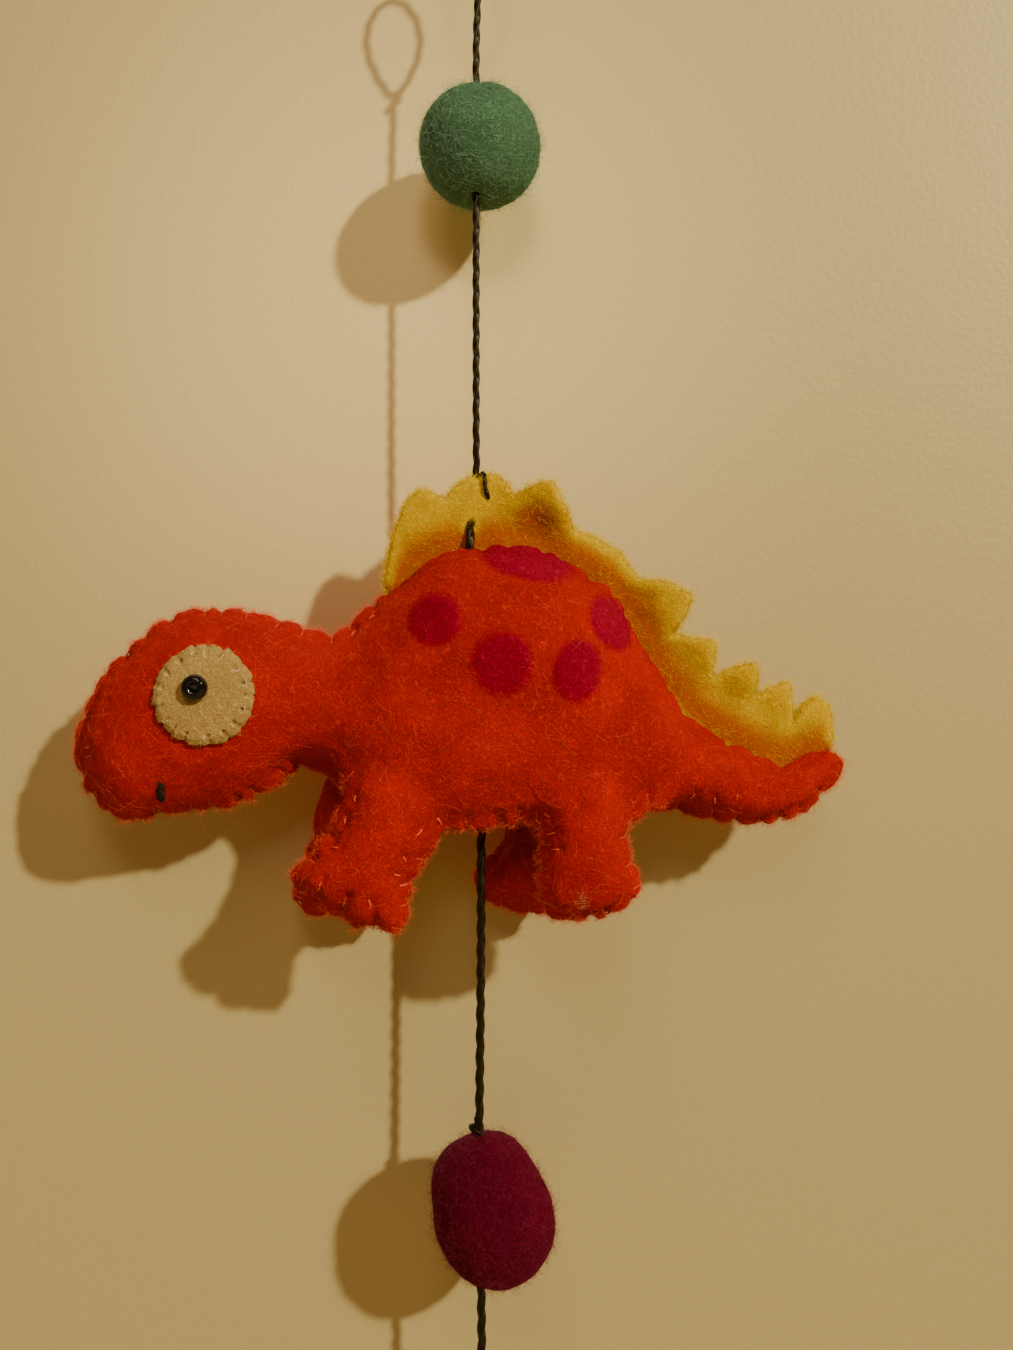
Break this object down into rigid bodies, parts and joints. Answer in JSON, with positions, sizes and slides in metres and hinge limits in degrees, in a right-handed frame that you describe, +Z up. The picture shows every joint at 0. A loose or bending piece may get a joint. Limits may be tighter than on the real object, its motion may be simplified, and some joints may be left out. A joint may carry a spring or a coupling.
{
  "type": "felt mobile",
  "caption": "Hanging felt mobile: a stuffed dinosaur with a toothed crest, strung between a round felt ball and an egg-shaped one on a thin twisted cord.",
  "frame": {"origin": "inner top of the hanging loop, where a hook carries it", "axes": "+X from the dinosaur's head to its tail, +Y away from the viewer, +Z up along the hanging cord"},
  "size_m": [0.1227, 0.0326, 0.2433],
  "materials": {
    "orange_felt": "orange-red wool felt, matt, with short loose fibres and crimson needle-felted spots",
    "yellow_felt": "golden yellow wool felt, matt, with a fuzzy cut edge",
    "cream_felt": "cream wool felt, matt",
    "green_felt": "green wet-felted wool, matt",
    "plum_felt": "plum wet-felted wool, matt, with a few pale fibres",
    "black_bead": "opaque black glass, glossy",
    "black_thread": "black cotton thread",
    "waxed_cord": "near-black waxed cotton cord, two plies, dull shine"
  },
  "bodies": {
    "root": {"side_panel_near": "orange_felt", "side_panel_far": "orange_felt", "belly_gusset": "orange_felt", "crest": "yellow_felt", "eye_disc_near": "cream_felt", "eye_disc_far": "cream_felt", "eye_bead_near": "black_bead", "eye_bead_far": "black_bead", "mouth_stitch_near": "black_thread", "mouth_stitch_far": "black_thread", "ball_green": "green_felt", "ball_plum": "plum_felt", "hanging_loop": "waxed_cord", "cord_top": "waxed_cord", "cord_body": "waxed_cord", "cord_tail": "waxed_cord", "crest_stitch": "waxed_cord", "knot_loop": "waxed_cord", "knot_plum": "waxed_cord", "knot_end": "waxed_cord"}
  },
  "joints": []
}
